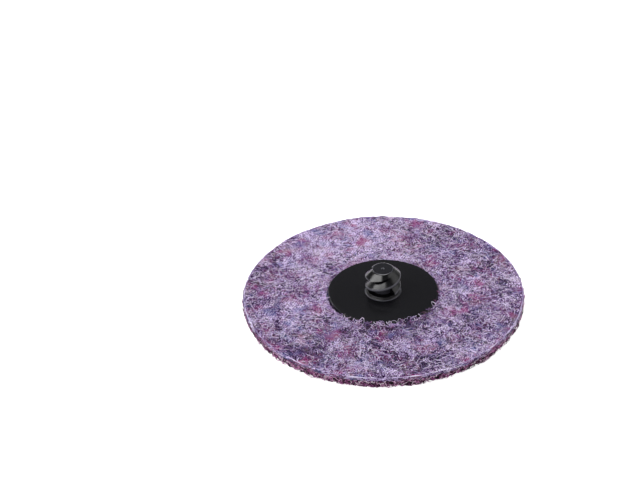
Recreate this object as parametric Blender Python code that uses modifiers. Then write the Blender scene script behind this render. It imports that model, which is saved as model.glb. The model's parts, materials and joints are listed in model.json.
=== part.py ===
"""Surface conditioning disc with a turn-on drive button, 3 in class.

A round of needled non-woven abrasive lies on its working face. Its woven
backing faces up, with a round seat pressed into the middle. A moulded drive
button is bonded in that seat: a thin flange and a stud with a two-start thread.

Metres, +Z up. The origin is at the centre of the working face.
"""

import math

import bmesh
import bpy
from mathutils import Vector, noise

MM = 0.001

# The gap left between two pieces that are bonded on the real disc
BOND_GAP = 0.3 * MM

# Both layers are cut from the roll in one stroke
DISC_RADIUS = 38.1 * MM

# Abrasive web, which springs back a little from the cut
WEB_SPRING_BACK = 0.4 * MM
WEB_THICKNESS = 2.0 * MM
WEB_GRID = 48
WEB_EDGE_RAGGED = 0.45 * MM
WEB_EDGE_ROLL = 0.7 * MM
WEB_WALL_ROWS = 3
WALL_ROW_OFFSET = 0.6
WALL_PIT_DEPTH = 0.6 * MM
WALL_PIT_LIFT = 0.1
PIT_DEPTH = 0.75 * MM
PIT_PITCH = 3.1 * MM
LAND_RADIUS = 2.5 * MM

# How strongly each noise counts in the open share of the working face
PIT_OPENNESS = 0.1
PIT_COARSE_SHARE = 1.6
PIT_FINE_SHARE = 0.8

# Scrim backing with its fleece
BACKING_THICKNESS = 0.9 * MM
BACKING_GRID = 40
BACKING_EDGE_RAGGED = 0.15 * MM
FLEECE_RELIEF = 0.12 * MM
FLEECE_PITCH = 5.0 * MM
FLEECE_TUFTS_IN_A_SWELL = 3
FLEECE_TUFT_SHARE = 0.8

# Waves of noise round the rim, for the torn edges
EDGE_SWINGS = 5
EDGE_SWING_SHARE = 0.6
EDGE_TUFTS = 23
EDGE_TUFT_SHARE = 0.7
WALL_PITS = 17
BACKING_NICKS = 19

# Where each pattern is read in the noise, so that no two are alike
SWING_SEED = 3.7
TUFT_SEED = 9.1
COARSE_PIT_SEED = 1.3
FINE_PIT_SEED = 7.9
WALL_PIT_SEED = 20.3
WALL_PIT_SEED_STEP = 3.1
FLEECE_SWELL_SEED = 4.4
FLEECE_TUFT_SEED = 8.8
BACKING_NICK_SEED = 5.5

# The seat that the button presses into the layers
SEAT_FLOOR_THICKNESS = 0.5 * MM
SEAT_RING = 8
SEAT_SIDE_GAP = 0.3 * MM
SEAT_SLOPE = 0.9 * MM

# Bond film under the flange
FILM_THICKNESS = 0.25 * MM
FILM_INSET = 0.8 * MM

# Facets of a full circle, and of a rounded edge
ROUND_STEPS = 72
ROUND_EDGE_STEPS = 3

# Drive button: flange
FLANGE_RADIUS = 15.0 * MM
FLANGE_THICKNESS = 1.2 * MM
FLANGE_STANDS_PROUD = 1.0 * MM
FLANGE_EDGE_ROUND = 0.3 * MM

# Drive button: stud
STUD_HEIGHT = 7.3 * MM
COLLAR_RADIUS = 4.45 * MM
COLLAR_HEIGHT = 0.75 * MM
COLLAR_FILLET = 0.45 * MM
CREST_RADIUS = 4.87 * MM
ROOT_RADIUS = 2.8 * MM
TIP_RADIUS = 2.86 * MM
TIP_ROUND = 0.45 * MM
TIP_CONE_SLOPE = 1.02
GATE_RADIUS = 0.45 * MM
GATE_DEPTH = 0.2 * MM
GATE_PIN_RADIUS = 0.2 * MM
GATE_PIN_DEPTH = 0.45 * MM

# Drive button: right-hand thread. The first ridge starts at the right front, by the collar
THREAD_STARTS = 2
THREAD_LEAD = 6.2 * MM
CREST_LAND = 0.55 * MM
ROOT_LAND = 0.2 * MM
UNDERSIDE_RISE = 0.5 * MM
CREST_HEIGHT_AT_LEFT = 4.75 * MM
THREAD_START_ANGLE = math.radians(-50)
THREAD_STEP = math.radians(12)
RIDGE_ROOT_DEPTH = 0.12 * MM
CORE_FOOT_DEPTH = 0.2 * MM
RIDGE_SPARE = 0.5 * MM

# Heights that follow
WEB_TOP = WEB_THICKNESS
BACKING_BOTTOM = WEB_TOP + BOND_GAP
FACE_HEIGHT = BACKING_BOTTOM + BACKING_THICKNESS
FLANGE_TOP = FACE_HEIGHT + FLANGE_STANDS_PROUD
FLANGE_BOTTOM = FLANGE_TOP - FLANGE_THICKNESS
FILM_TOP = FLANGE_BOTTOM - BOND_GAP
FILM_BOTTOM = FILM_TOP - FILM_THICKNESS
SEAT_FLOOR = FILM_BOTTOM - BOND_GAP
SEAT_UNDERSIDE = SEAT_FLOOR - SEAT_FLOOR_THICKNESS
WEB_DISH_FLOOR = SEAT_UNDERSIDE - BOND_GAP

# Radii that follow
SEAT_RADIUS = FLANGE_RADIUS + SEAT_SIDE_GAP
DISH_RADIUS = SEAT_RADIUS + SEAT_SLOPE
WEB_DISH_RADIUS = DISH_RADIUS + BOND_GAP


def clear_scene():
    for item in list(bpy.data.objects):
        bpy.data.objects.remove(item)


def new_collection(name):
    collection = bpy.data.collections.new(name)
    bpy.context.scene.collection.children.link(collection)
    return collection


def new_material(name, colour, roughness, metallic=0.0):
    material = bpy.data.materials.new(name)
    material.use_nodes = True
    shader = material.node_tree.nodes["Principled BSDF"]
    shader.inputs["Base Color"].default_value = (*colour, 1.0)
    shader.inputs["Roughness"].default_value = roughness
    shader.inputs["Metallic"].default_value = metallic
    return material


def new_object(name, bm, collection, material=None):
    """Turn a bmesh into a named object"""
    mesh = bpy.data.meshes.new(name)
    bm.to_mesh(mesh)
    bm.free()
    if material:
        mesh.materials.append(material)
    item = bpy.data.objects.new(name, mesh)
    collection.objects.link(item)
    return item


def turned(name, profile, steps, collection, material=None):
    """Spin a profile of (radius, height), listed from top to bottom"""
    bm = bmesh.new()
    points = [bm.verts.new((radius, 0, height)) for radius, height in profile]
    for upper, lower in zip(points, points[1:]):
        bm.edges.new((upper, lower))
    item = new_object(name, bm, collection, material)
    spin = item.modifiers.new("Spin", "SCREW")
    spin.angle = 2 * math.pi
    spin.steps = steps
    spin.render_steps = steps
    spin.use_merge_vertices = True
    spin.merge_threshold = 0.01 * MM
    spin.use_smooth_shade = True
    return item


def rounded_corner(centre_radius, centre_height, radius, start, end, steps):
    """Points of an arc in the (radius, height) plane, angles in degrees"""
    points = []
    for step in range(steps + 1):
        angle = math.radians(start + (end - start) * step / steps)
        points.append((centre_radius + radius * math.cos(angle),
                       centre_height + radius * math.sin(angle)))
    return points


def polar(radius, angle, height):
    return Vector((radius * math.cos(angle), radius * math.sin(angle), height))


def disc_grid(cells, ring_radius, height):
    """A square grid bent into a disc, so that its cells stay nearly even.

    Ring k of the grid becomes the circle of radius ring_radius(k, angle).
    """
    bm = bmesh.new()
    bmesh.ops.create_grid(bm, x_segments=cells, y_segments=cells, size=1.0)
    for vert in bm.verts:
        u = vert.co.x
        v = vert.co.y
        reach = max(abs(u), abs(v))
        angle = square_angle(u, v)
        radius = ring_radius(reach * cells / 2, angle)
        place = polar(radius, angle, 0)
        vert.co = (place.x, place.y, height(place.x, place.y))
    bmesh.ops.triangulate(bm, faces=bm.faces, quad_method="SHORT_EDGE")
    return bm


def square_angle(u, v):
    """Angle in the disc of a point of the square"""
    if u == 0 and v == 0:
        return 0.0
    if abs(u) >= abs(v):
        angle = math.pi / 4 * v / u
        return angle if u > 0 else angle + math.pi
    angle = math.pi / 2 - math.pi / 4 * u / v
    return angle if v > 0 else angle + math.pi


def open_rim(bm):
    return [edge for edge in bm.edges if edge.is_boundary]


def next_ring(bm, rim, radius, height):
    """Grow one ring of faces from an open rim, out to radius(angle), height(angle)"""
    grown = bmesh.ops.extrude_edge_only(bm, edges=rim)["geom"]
    for item in grown:
        if isinstance(item, bmesh.types.BMVert):
            angle = math.atan2(item.co.y, item.co.x)
            item.co = polar(radius(angle), angle, height(angle))
    return [item for item in grown if isinstance(item, bmesh.types.BMEdge)]


def grow_rings(bm, rim, rings):
    """Grow a list of (radius(angle), height(angle)) rings one after another"""
    for radius, height in rings:
        rim = next_ring(bm, rim, radius, height)
    return rim


def level(value):
    return lambda angle: value


def close_and_orient(bm, rim):
    bmesh.ops.holes_fill(bm, edges=rim, sides=0)
    bmesh.ops.recalc_face_normals(bm, faces=bm.faces)


def around(angle, waves, seed):
    """Smooth noise that closes on itself round the rim"""
    return noise.noise(Vector((waves * math.cos(angle), waves * math.sin(angle), seed)))


def lumps(x, y, pitch, seed):
    """Smooth noise over a face, with a swell about every pitch"""
    return noise.noise(Vector((x / pitch, y / pitch, seed)))


def web_outline(angle):
    """The torn edge of the web: broad swings and small tufts"""
    swings = EDGE_SWING_SHARE * around(angle, EDGE_SWINGS, SWING_SEED)
    tufts = EDGE_TUFT_SHARE * around(angle, EDGE_TUFTS, TUFT_SEED)
    return DISC_RADIUS - WEB_SPRING_BACK + WEB_EDGE_RAGGED * (swings + tufts)


def pit(x, y):
    """How deep the open web is at a point of the working face, 0 on a land"""
    coarse = PIT_COARSE_SHARE * lumps(x, y, PIT_PITCH, COARSE_PIT_SEED)
    fine = PIT_FINE_SHARE * lumps(x, y, 0.5 * PIT_PITCH, FINE_PIT_SEED)
    open_share = min(1.0, max(0.0, PIT_OPENNESS + coarse + fine))
    away_from_land = min(1.0, max(0.0, math.hypot(x, y) / LAND_RADIUS - 1.0))
    return PIT_DEPTH * open_share * away_from_land


def wall_pit(angle, row):
    """The side wall's own pits, different on each row"""
    seed = WALL_PIT_SEED + WALL_PIT_SEED_STEP * row
    return WALL_PIT_DEPTH * around(angle, WALL_PITS, seed)


def wall_ring(row):
    """Radius and height round the rim of one row of the side wall"""
    middle = WEB_THICKNESS * (row + WALL_ROW_OFFSET) / WEB_WALL_ROWS
    return (lambda angle: web_outline(angle) + wall_pit(angle, row),
            lambda angle: middle + WALL_PIT_LIFT * wall_pit(angle, row))


def abrasive_web(collection, material):
    """The needled web: pits in the working face, a torn side, a dished top"""
    rings = WEB_GRID / 2

    def ring_radius(ring, angle):
        return (web_outline(angle) - WEB_EDGE_ROLL) * ring / rings

    bm = disc_grid(WEB_GRID, ring_radius, pit)
    side = [wall_ring(row) for row in range(WEB_WALL_ROWS)]
    top = [
        (lambda angle: web_outline(angle) - 0.5 * WEB_EDGE_ROLL, level(WEB_TOP)),
        (level(WEB_DISH_RADIUS), level(WEB_TOP)),
        (level(WEB_DISH_RADIUS - SEAT_SLOPE), level(WEB_DISH_FLOOR)),
    ]
    rim = grow_rings(bm, open_rim(bm), side + top)
    close_and_orient(bm, rim)
    return new_object("abrasive_web", bm, collection, material)


def fleece_height(x, y):
    """The uneven felt of the back face"""
    swell = lumps(x, y, FLEECE_PITCH, FLEECE_SWELL_SEED)
    tuft = lumps(x, y, FLEECE_PITCH / FLEECE_TUFTS_IN_A_SWELL, FLEECE_TUFT_SEED)
    return FACE_HEIGHT + FLEECE_RELIEF * (swell + FLEECE_TUFT_SHARE * tuft)


def backing_outline(angle):
    nicks = around(angle, BACKING_NICKS, BACKING_NICK_SEED)
    return DISC_RADIUS + BACKING_EDGE_RAGGED * nicks


def open_seat(bm):
    """Take the face away where the button sits, and leave a round hole"""
    seat_faces = [face for face in bm.faces
                  if face.calc_center_median().xy.length < SEAT_RADIUS]
    bmesh.ops.delete(bm, geom=seat_faces, context="FACES")
    return [edge for edge in open_rim(bm)
            if edge.verts[0].co.xy.length < SEAT_RADIUS + SEAT_SLOPE]


def scrim_backing(collection, material):
    """The woven backing with its fleece, pressed in where the button sits"""
    rings = BACKING_GRID / 2

    def ring_radius(ring, angle):
        if ring <= SEAT_RING:
            return SEAT_RADIUS * ring / SEAT_RING
        share = (ring - SEAT_RING) / (rings - SEAT_RING)
        return SEAT_RADIUS + (backing_outline(angle) - SEAT_RADIUS) * share

    bm = disc_grid(BACKING_GRID, ring_radius, fleece_height)
    outer_rim = open_rim(bm)
    seat_rim = open_seat(bm)
    underside = [
        (lambda angle: backing_outline(angle) + 0.5 * BACKING_EDGE_RAGGED,
         level(FACE_HEIGHT - 0.5 * BACKING_THICKNESS)),
        (backing_outline, level(BACKING_BOTTOM)),
        (level(DISH_RADIUS), level(BACKING_BOTTOM)),
        (level(DISH_RADIUS - SEAT_SLOPE), level(SEAT_UNDERSIDE)),
    ]
    seat = [(level(SEAT_RADIUS), level(SEAT_FLOOR))]
    under_rim = grow_rings(bm, outer_rim, underside)
    floor_rim = grow_rings(bm, seat_rim, seat)
    close_and_orient(bm, under_rim)
    close_and_orient(bm, floor_rim)
    return new_object("scrim_backing", bm, collection, material)


def bond_film(collection, material):
    """The hot-melt film that holds the button in its seat"""
    radius = FLANGE_RADIUS - FILM_INSET
    bm = bmesh.new()
    bmesh.ops.create_cone(bm, cap_ends=True, segments=ROUND_STEPS, radius1=radius,
                          radius2=radius, depth=FILM_THICKNESS)
    item = new_object("bond_film", bm, collection, material)
    item.location.z = (FILM_TOP + FILM_BOTTOM) / 2
    return item


def ridge_section():
    """Upright section of one thread ridge, as (radius, height above its crest's lower edge).

    Both flanks run on past the root, so that the ridge is buried in the core.
    """
    buried = ROOT_RADIUS - RIDGE_ROOT_DEPTH
    flank_top = THREAD_LEAD / THREAD_STARTS - UNDERSIDE_RISE - ROOT_LAND
    share = (CREST_RADIUS - buried) / (CREST_RADIUS - ROOT_RADIUS)
    return [
        (buried, CREST_LAND + (flank_top - CREST_LAND) * share),
        (CREST_RADIUS, CREST_LAND),
        (CREST_RADIUS, 0.0),
        (buried, -UNDERSIDE_RISE * share),
    ]


def crest_height(angle):
    """Height of the first ridge's crest above the flange, angle counted from the left"""
    return CREST_HEIGHT_AT_LEFT + THREAD_LEAD * angle / (2 * math.pi)


def thread_ridge(start, collection):
    """One ridge, from its start by the collar up past the stud's tip"""
    begin = THREAD_START_ANGLE - math.pi
    height = crest_height(begin)
    length = STUD_HEIGHT + RIDGE_SPARE - height
    azimuth = THREAD_START_ANGLE + start * 2 * math.pi / THREAD_STARTS
    bm = bmesh.new()
    ring = [bm.verts.new(polar(radius, azimuth, FLANGE_TOP + height + rise))
            for radius, rise in ridge_section()]
    for here, there in zip(ring, ring[1:] + ring[:1]):
        bm.edges.new((here, there))
    ridge = new_object("thread_ridge", bm, collection)
    screw = ridge.modifiers.new("Thread", "SCREW")
    screw.angle = 2 * math.pi * length / THREAD_LEAD
    screw.screw_offset = length
    screw.steps = round(screw.angle / THREAD_STEP)
    screw.render_steps = screw.steps
    screw.use_merge_vertices = False
    close_ends(ridge)
    return ridge


def close_ends(swept):
    """Make the swept shape a mesh of its own, and close it"""
    shaped = bpy.data.meshes.new_from_object(swept.evaluated_get(
        bpy.context.evaluated_depsgraph_get()))
    swept.modifiers.clear()
    bm = bmesh.new()
    bm.from_mesh(shaped)
    bmesh.ops.holes_fill(bm, edges=open_rim(bm), sides=0)
    bmesh.ops.recalc_face_normals(bm, faces=bm.faces)
    bm.to_mesh(swept.data)
    bm.free()
    hide_as_tool(swept)


def threaded_core(collection):
    """The plain core of the stud with its ridges, longer than the stud at the tip"""
    foot = FLANGE_TOP + COLLAR_HEIGHT - 2 * CORE_FOOT_DEPTH
    top = FLANGE_TOP + STUD_HEIGHT + RIDGE_SPARE
    profile = [(0.0, top), (ROOT_RADIUS, top), (ROOT_RADIUS, foot), (0.0, foot)]
    core = turned("threaded_core", profile, ROUND_STEPS, collection)
    hide_as_tool(core)
    for start in range(THREAD_STARTS):
        add = core.modifiers.new("Ridge", "BOOLEAN")
        add.operation = "UNION"
        add.object = thread_ridge(start, collection)
    return core


def stud_envelope(collection):
    """The turned blank of the stud: a cone over a cylinder, with a gate mark"""
    tip = FLANGE_TOP + STUD_HEIGHT
    slope = math.degrees(math.atan(1 / TIP_CONE_SLOPE))
    shoulder = tip - (CREST_RADIUS - TIP_RADIUS) / TIP_CONE_SLOPE
    round_back = TIP_ROUND * math.tan(math.radians(slope) / 2)
    profile = [
        (0.0, tip - GATE_PIN_DEPTH),
        (GATE_PIN_RADIUS, tip - GATE_PIN_DEPTH),
        (GATE_PIN_RADIUS, tip - GATE_DEPTH),
        (GATE_RADIUS, tip),
    ]
    profile += rounded_corner(TIP_RADIUS - round_back, tip - TIP_ROUND, TIP_ROUND,
                              90, 90 - slope, ROUND_EDGE_STEPS)
    wider = CREST_RADIUS + RIDGE_SPARE
    foot = FLANGE_TOP + COLLAR_HEIGHT - CORE_FOOT_DEPTH
    profile += [(wider, shoulder - RIDGE_SPARE / TIP_CONE_SLOPE), (wider, foot), (0.0, foot)]
    blank = turned("stud_envelope", profile, ROUND_STEPS, collection)
    hide_as_tool(blank)
    return blank


def drive_button(collection, tools, material):
    """Flange, collar and threaded stud, moulded in one"""
    edge = FLANGE_EDGE_ROUND
    foot = COLLAR_FILLET
    profile = [(0.0, FLANGE_TOP + COLLAR_HEIGHT),
               (COLLAR_RADIUS, FLANGE_TOP + COLLAR_HEIGHT)]
    profile += rounded_corner(COLLAR_RADIUS + foot, FLANGE_TOP + foot, foot, 180, 270,
                              ROUND_EDGE_STEPS)
    profile += rounded_corner(FLANGE_RADIUS - edge, FLANGE_TOP - edge, edge, 90, 0,
                              ROUND_EDGE_STEPS)
    profile += [(FLANGE_RADIUS, FLANGE_BOTTOM), (0.0, FLANGE_BOTTOM)]
    button = turned("drive_button", profile, ROUND_STEPS, collection, material)

    stud = threaded_core(tools)
    trim = stud.modifiers.new("Trim to the blank", "BOOLEAN")
    trim.operation = "INTERSECT"
    trim.object = stud_envelope(tools)
    join = button.modifiers.new("Moulded in one", "BOOLEAN")
    join.operation = "UNION"
    join.object = stud
    return button


def hide_as_tool(item):
    item.hide_render = True
    item.display_type = "WIRE"


def build():
    clear_scene()
    parts = new_collection("surface_conditioning_disc")
    tools = new_collection("shaping_tools")
    web_finish = new_material("maroon_abrasive_web", (0.110, 0.026, 0.066), 0.9)
    fleece_finish = new_material("lavender_fleece", (0.330, 0.230, 0.360), 0.95)
    film_finish = new_material("amber_hot_melt", (0.480, 0.330, 0.140), 0.4)
    button_finish = new_material("black_moulded_nylon", (0.012, 0.012, 0.014), 0.45)
    abrasive_web(parts, web_finish)
    scrim_backing(parts, fleece_finish)
    bond_film(parts, film_finish)
    drive_button(parts, tools, button_finish)


build()
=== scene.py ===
# %% [markdown]
# # A surface conditioning disc with its drive button
# This is a 3 in round of needled nylon web, full of grit, under a backing of felted fleece. A black
# drive button is bonded in the middle of the backing, so that the disc turns on to its holder.
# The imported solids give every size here. Each step dresses one of them: the web, the fleece,
# their loose fibres, the button, and at last the studio that shows them.

# %% The frame
import json
import math
import random

import bmesh
import bpy
from mathutils import Matrix, Quaternion, Vector, noise


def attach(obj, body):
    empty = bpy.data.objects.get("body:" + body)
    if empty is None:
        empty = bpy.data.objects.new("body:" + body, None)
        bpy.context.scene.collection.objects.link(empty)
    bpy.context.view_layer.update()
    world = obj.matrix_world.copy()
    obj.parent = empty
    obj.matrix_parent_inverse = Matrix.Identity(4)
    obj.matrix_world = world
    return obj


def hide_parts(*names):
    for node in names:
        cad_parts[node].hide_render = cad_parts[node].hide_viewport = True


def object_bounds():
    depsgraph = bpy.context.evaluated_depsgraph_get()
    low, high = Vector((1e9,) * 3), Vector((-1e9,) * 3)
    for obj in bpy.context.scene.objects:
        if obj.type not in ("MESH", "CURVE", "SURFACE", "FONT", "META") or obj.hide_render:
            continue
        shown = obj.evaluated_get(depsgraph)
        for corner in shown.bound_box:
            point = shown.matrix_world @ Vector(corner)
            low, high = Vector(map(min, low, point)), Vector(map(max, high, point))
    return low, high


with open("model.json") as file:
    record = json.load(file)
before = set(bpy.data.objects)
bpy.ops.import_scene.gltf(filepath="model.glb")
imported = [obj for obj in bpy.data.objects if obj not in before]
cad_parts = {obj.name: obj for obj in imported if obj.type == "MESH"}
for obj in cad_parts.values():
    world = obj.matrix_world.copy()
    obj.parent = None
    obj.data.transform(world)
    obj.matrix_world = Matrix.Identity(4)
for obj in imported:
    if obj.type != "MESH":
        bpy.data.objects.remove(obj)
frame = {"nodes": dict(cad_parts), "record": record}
cad_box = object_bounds()
MM = 0.001
print("The solids measure", [round(side / MM, 1) for side in cad_box[1] - cad_box[0]], "mm")

# %% [markdown]
# ## Heights and radii from the solids
# The button's flange is the one surface that was measured on the real disc, so the other heights
# are counted from its mount. The layers keep the small gaps that the solids have.

# %% Heights and radii
mounts = {mount["name"]: Vector(mount["pos_m"]) for mount in frame["record"]["mounts"]}
flange_top = mounts["flange_face"].z
stud_tip = mounts["stud_tip"].z

DISC_RADIUS = 38.1 * MM
WEB_RADIUS = DISC_RADIUS - 0.4 * MM
WEB_THICKNESS = 2.0 * MM
BACKING_THICKNESS = 0.9 * MM
LAYER_GAP = 0.3 * MM
FLANGE_RADIUS = 15.0 * MM
FLANGE_THICKNESS = 1.2 * MM
FLANGE_STANDS_PROUD = 1.0 * MM
SEAT_RADIUS = FLANGE_RADIUS + LAYER_GAP
SEAT_SLOPE = 0.9 * MM
SEAT_FLOOR_THICKNESS = 0.5 * MM
FILM_THICKNESS = 0.25 * MM

face_height = flange_top - FLANGE_STANDS_PROUD
backing_bottom = face_height - BACKING_THICKNESS
seat_floor = flange_top - FLANGE_THICKNESS - 2 * LAYER_GAP - FILM_THICKNESS
seat_underside = seat_floor - SEAT_FLOOR_THICKNESS
print("Felt face at", round(face_height / MM, 2), "mm, stud tip at", round(stud_tip / MM, 2), "mm")

# %% [markdown]
# ## The camera
# The photograph looks down at the disc at 34 degrees, from 0.68 m, through a long lens. The
# rotation is built from those angles, and the disc's felt face is placed in front of the lens
# where the picture shows it, a little right of the middle and below it.

# %% The camera
IMAGE_WIDTH = 640
FOCAL_PIXELS = 2500
ELEVATION = math.radians(34.2)
ROLL = math.radians(1.8)
FACE_FROM_LENS = Vector((17.2, -14.6, -680.7)) * MM


def place_camera():
    lens = bpy.data.cameras.new("camera")
    lens.lens = FOCAL_PIXELS / IMAGE_WIDTH * lens.sensor_width
    camera = bpy.data.objects.new("camera", lens)
    bpy.context.scene.collection.objects.link(camera)
    tilt = Matrix.Rotation(ELEVATION - math.pi / 2, 4, "X")
    roll = Matrix.Rotation(ROLL, 4, "Z")
    face_centre = Vector((0, 0, face_height))
    world_to_camera = (Matrix.Translation(FACE_FROM_LENS) @ roll @ tilt
                       @ Matrix.Translation(-face_centre))
    camera.matrix_world = world_to_camera.inverted()
    bpy.context.scene.camera = camera
    return camera


camera = place_camera()
print("The camera stands at", [round(value, 3) for value in camera.matrix_world.translation], "m")

# %% [markdown]
# ## Two small tools for finishes
# Colours are written as the eye meets them on a screen, in sRGB hex, and one function turns them
# to the linear values that a renderer adds up. The other function adds one shader node with its
# settings and its links, so that each finish below reads as a list of what it does.

# %% Colours and nodes
def linear(hex_colour):
    """An sRGB hex colour as linear RGBA"""
    values = [int(hex_colour[place:place + 2], 16) / 255 for place in (1, 3, 5)]
    return [value / 12.92 if value <= 0.04045 else ((value + 0.055) / 1.055) ** 2.4
            for value in values] + [1.0]


def new_material(name):
    material = bpy.data.materials.new(name)
    material.use_nodes = True
    return material


def add_node(material, kind, inputs, stops=(), **settings):
    """Add a node. Its inputs are values or other nodes' outputs, by socket name or number"""
    tree = material.node_tree
    node = tree.nodes.new("ShaderNode" + kind)
    for name, value in settings.items():
        setattr(node, name, value)
    for index, (place, hex_colour) in enumerate(stops):
        ramp = node.color_ramp.elements
        stop = ramp[index] if index < len(ramp) else ramp.new(place)
        stop.position = place
        stop.color = linear(hex_colour)
    for socket, value in inputs.items():
        if isinstance(value, bpy.types.NodeSocket):
            tree.links.new(value, node.inputs[socket])
        else:
            node.inputs[socket].default_value = value
    return node


def finish_shader(material, colour, roughness, specular, bump=None):
    """Set the material's own shader: a colour output, and what is the same all over"""
    shader = material.node_tree.nodes["Principled BSDF"]
    shader.inputs["Roughness"].default_value = roughness
    shader.inputs["Specular IOR Level"].default_value = specular
    material.node_tree.links.new(colour, shader.inputs["Base Color"])
    if bump:
        material.node_tree.links.new(bump, shader.inputs["Normal"])


print("Mid grey #808080 is", round(linear("#808080")[0], 3), "in linear light")

# %% [markdown]
# ## How this disc is shaped
# Nearly all of it is round, so a piece starts as a profile that is spun about the middle. Wool
# and grit then break up the turned surface: each vertex moves by smooth noise, whose pitch is the
# size of a tuft or a pit. The noise is read with the same seeds as the solids, so that the dressed
# layers swell and sink where the solids do.

# %% Turned pieces
def spaced(start, end, spacing):
    """Points of a straight stretch of a profile, without its last one"""
    steps = max(1, round((Vector(end) - Vector(start)).length / spacing))
    return [tuple(Vector(start).lerp(Vector(end), step / steps)) for step in range(steps)]


def arc(centre_radius, centre_height, radius, start, end, steps):
    """Points of a rounded corner of a profile, angles in degrees"""
    points = []
    for step in range(steps + 1):
        angle = math.radians(start + (end - start) * step / steps)
        points.append((centre_radius + radius * math.cos(angle),
                       centre_height + radius * math.sin(angle)))
    return points


def swept(name, points, turn, rise, steps, closed=False):
    """Sweep a line of points about the disc's axis, as a Screw modifier does, into a mesh"""
    mesh = bpy.data.meshes.new(name)
    count = len(points)
    edges = [(index, (index + 1) % count) for index in range(count if closed else count - 1)]
    mesh.from_pydata(points, edges, [])
    holder = bpy.data.objects.new(name, mesh)
    bpy.context.scene.collection.objects.link(holder)
    screw = holder.modifiers.new("Sweep", "SCREW")
    screw.angle = turn
    screw.screw_offset = rise
    screw.steps = screw.render_steps = steps
    screw.use_merge_vertices = rise == 0
    screw.merge_threshold = 0.001 * MM
    shaped = bpy.data.meshes.new_from_object(
        holder.evaluated_get(bpy.context.evaluated_depsgraph_get()))
    bpy.data.objects.remove(holder)
    return shaped


def turned(name, profile, columns, material, shape=None):
    """Spin a profile of (radius, height), and move each vertex by shape(place)"""
    points = [(radius, 0, height) for radius, height in profile]
    mesh = swept(name, points, 2 * math.pi, 0, columns)
    bm = bmesh.new()
    bm.from_mesh(mesh)
    bmesh.ops.recalc_face_normals(bm, faces=bm.faces)
    if shape:
        for vert in bm.verts:
            vert.co = shape(vert.co)
    bm.to_mesh(mesh)
    bm.free()
    return new_piece(name, mesh, material)


def new_piece(name, mesh, material):
    mesh.materials.clear()
    mesh.materials.append(material)
    mesh.shade_smooth()
    piece = bpy.data.objects.new(name, mesh)
    bpy.context.scene.collection.objects.link(piece)
    print(name, "has", sum(len(face.vertices) - 2 for face in mesh.polygons), "triangles")
    return piece


def around(angle, waves, seed):
    """Smooth noise that closes on itself round the rim"""
    return noise.noise(Vector((waves * math.cos(angle), waves * math.sin(angle), seed)))


def lumps(x, y, pitch, seed):
    """Smooth noise over a face, with a swell about every pitch"""
    return noise.noise(Vector((x / pitch, y / pitch, seed)))


def blend(value, start, end):
    """0 before start, 1 after end, and a smooth rise between"""
    share = min(1.0, max(0.0, (value - start) / (end - start)))
    return share * share * (3 - 2 * share)


print("A quarter circle in six steps has", len(arc(0, 0, 1, 0, 90, 6)), "points")

# %% [markdown]
# ## The felt's colour
# The fleece is a blend of dyed staple fibres, carded together but not quite evenly: plum, violet,
# lavender and nearly white ones. A colour ramp holds that blend, from its darkest fibre to its
# palest, and three things say where on the ramp a point lies. A broad drift of noise makes the
# far side of the disc a little paler, which is painted light, as if that side were lit more, and
# clouds of noise make it darker in some places. The third is a value of the strand's own, which
# is a random number for a modelled fibre, and fine noise for the mat between them. A lightness
# shifts the whole ramp for each use: the mat gets a dark one as painted shade deep in the felt.
# Last come tints of magenta, slate and straw, in clouds of their own. Sizes, seeds and reaches
# were tried until the render's contrast came near the photograph's.

# %% The felt's colour
# A broad unevenness of the blend, whose pale end on the far side is painted light
PAINTED_LIGHT_DRIFT_SIZE = 28 * MM
PAINTED_LIGHT_DRIFT_SEED = 4.6
CLOUD_SIZE = 6.0 * MM
CLOUD_SEED = 8.5
TINT_SIZE = 4.0 * MM
TINT_STARTS = 0.53
TINT_FULL = 0.66
FIBRE_SHIFT = 3.0 * MM
# How far up the ramp each of the three can move a point, and how far all of it leans to the dark
PAINTED_LIGHT_DRIFT_REACH = 1.0
TONE_REACH = 3.1
STRAND_REACH = 1.6
SHADE = 0.10
FELT_BLEND = [(0.00, "#220e30"), (0.20, "#4c2c5c"), (0.40, "#826292"), (0.60, "#ae92c8"),
              (0.82, "#cab6e4"), (1.00, "#f0e2fc")]
# Each tint has a colour, a noise seed and its strength
FELT_TINTS = [("#a0407a", 3.1, 0.68), ("#6872ac", 11.7, 0.54), ("#ccbfc0", 23.9, 0.24)]
# The mat is darker than the fibres as painted shade deep in the felt
MAT_PAINTED_SHADE_LIGHTNESS = 0.34
# Strands are only about 0.05 mm thick, so the mat's grain is drawn as coarse as it needs to show
MAT_GRAIN = 0.45 * MM
MAT_RELIEF = 0.15 * MM
MIX_FACTOR, MIX_A, MIX_B, MIX_RESULT = 0, 6, 7, 2


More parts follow.
